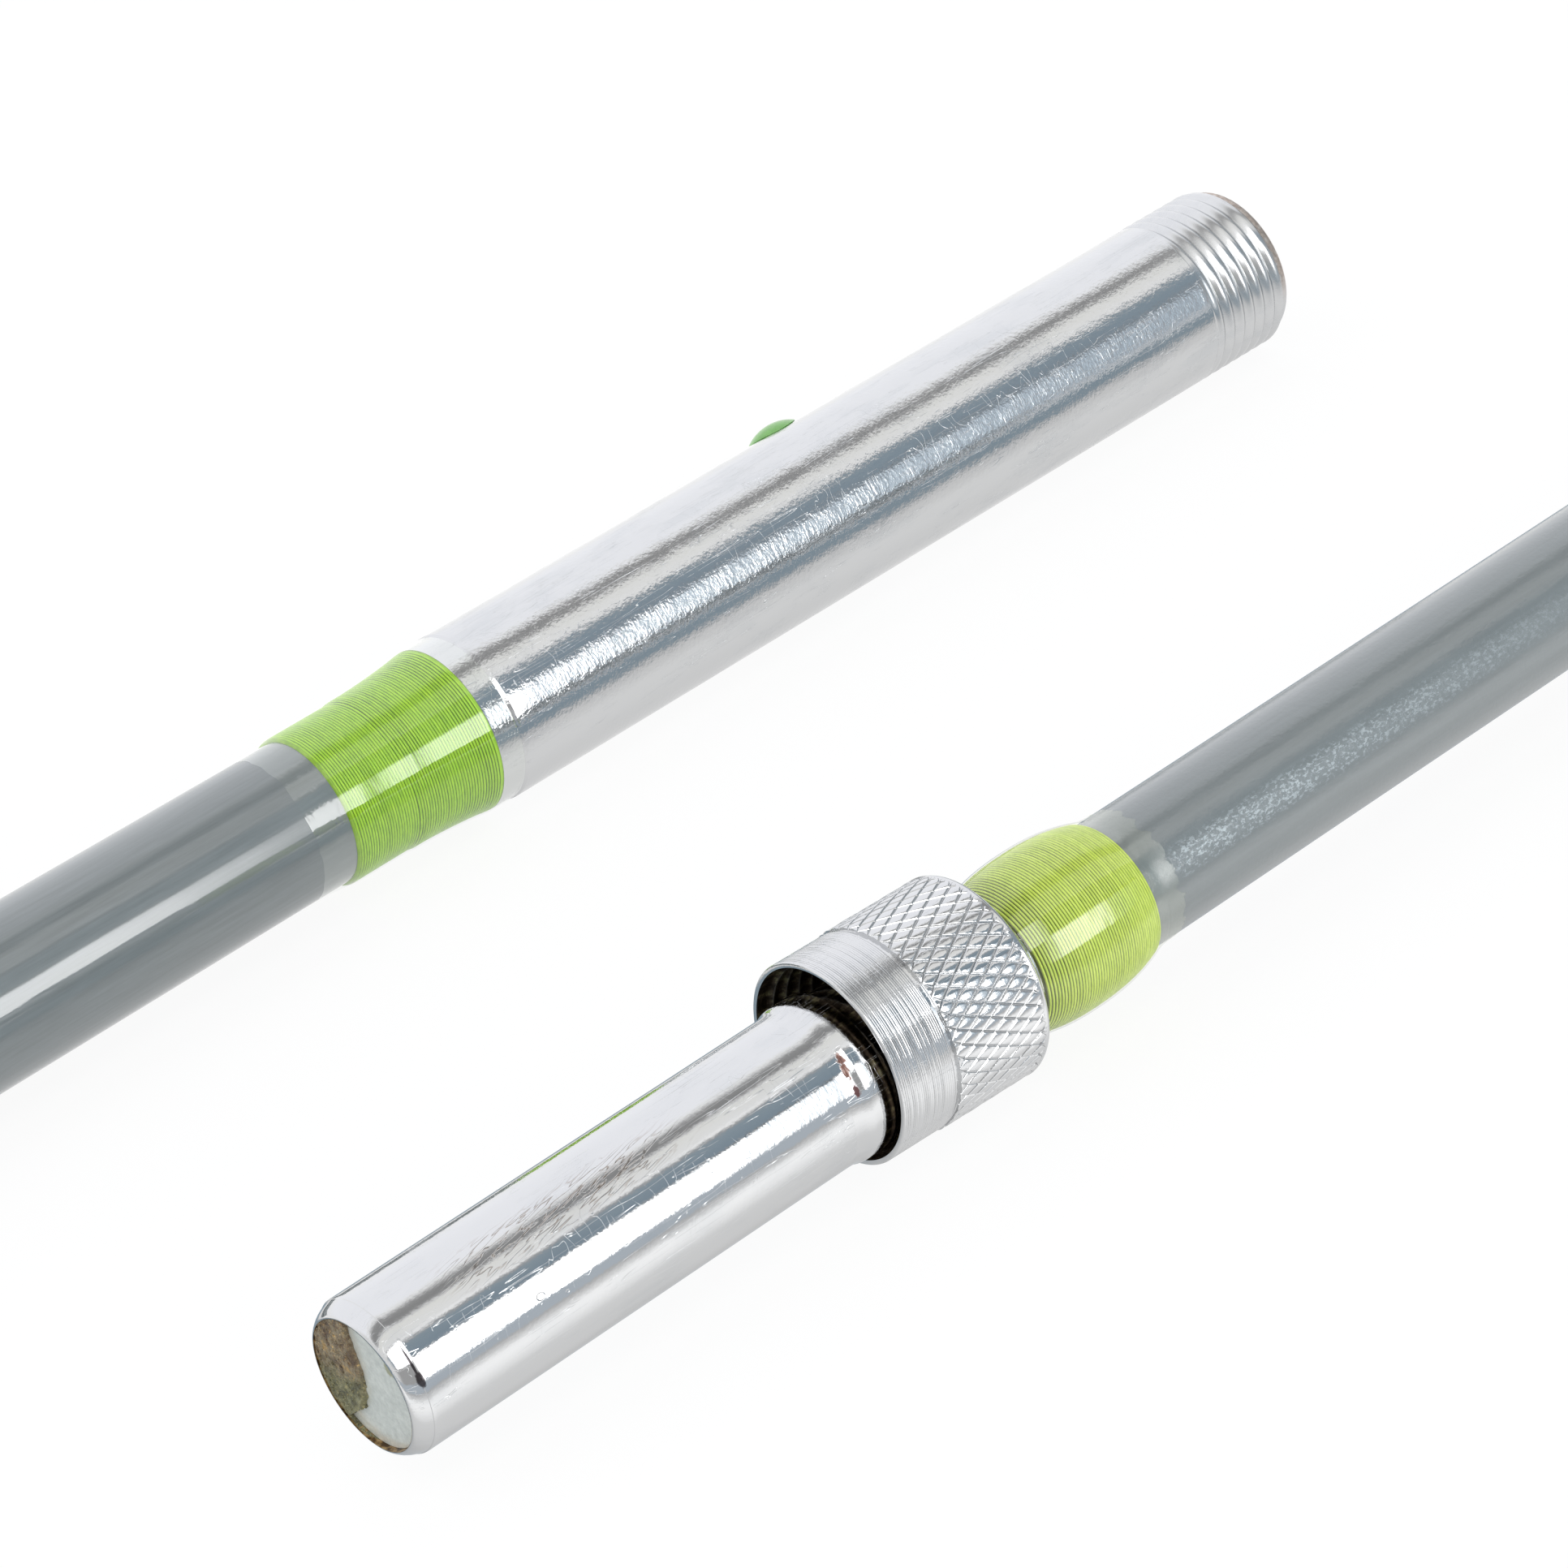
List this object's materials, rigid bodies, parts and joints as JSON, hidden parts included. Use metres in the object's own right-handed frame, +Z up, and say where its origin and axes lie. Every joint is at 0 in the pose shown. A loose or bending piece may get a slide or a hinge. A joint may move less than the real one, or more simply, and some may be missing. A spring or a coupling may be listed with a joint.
{
  "type": "fishing rod screw-lock joint",
  "caption": "Screw-lock joint of a two-piece fishing rod, laid apart: threaded socket tube on the butt rod, chrome plug with captive knurled collar on the tip rod.",
  "frame": {"origin": "on the table, under the middle of the whole joint as it lies in the picture", "axes": "+X along both rods, the way the socket's mouth opens; +Y from the tip section to the butt section; +Z up from the table"},
  "size_m": [0.1352, 0.0674, 0.0133],
  "materials": {
    "glass_fibre": "grey glass-fibre rod, smooth and lacquered",
    "plated_brass": "bright plating over brass, scratched with use",
    "bare_brass": "turned",
    "blackened_steel": "dark, oiled",
    "cement": "set amber ferrule cement",
    "green_thread": "fine close-wound thread",
    "yellow_green_thread": "fine close-wound thread",
    "packing_cotton": "soft packing thread",
    "clear_coat": "clear gloss varnish",
    "green_enamel": "raised drop of enamel"
  },
  "bodies": {
    "butt_section": {"butt_blank": "glass_fibre", "butt_cement": "cement", "socket_tube": "plated_brass", "water_plug": "bare_brass", "index_bead": "green_enamel", "socket_whipping": "green_thread", "socket_whipping_coat": "clear_coat"},
    "tip_section": {"tip_blank": "glass_fibre", "tip_cement": "cement", "plug_tube": "plated_brass", "stop_shoulder": "plated_brass", "plug_end_residue": "cement", "tip_whipping_packing": "packing_cotton", "tip_whipping": "yellow_green_thread", "tip_whipping_coat": "clear_coat"},
    "collar_carrier": {"thrust_ring": "blackened_steel"},
    "collar": {"lock_collar": "plated_brass"}
  },
  "joints": [
    {"name": "lay_to_line", "type": "slide", "parent": "butt_section", "child": "tip_section", "axis": [0.9449, 0.3275, -0.0012], "range_m": [0, 0.16735]},
    {"name": "collar_play", "type": "slide", "parent": "tip_section", "child": "collar_carrier", "axis": [-1, 0, 0], "range_m": [-0.0005, 0.0085]},
    {"name": "collar_turn", "type": "hinge", "parent": "collar_carrier", "child": "collar", "pos_m": [-0.02211, -0.027, 0.00687], "axis": [0.9995, -0.0096, -0.0298], "continuous": true}
  ]
}
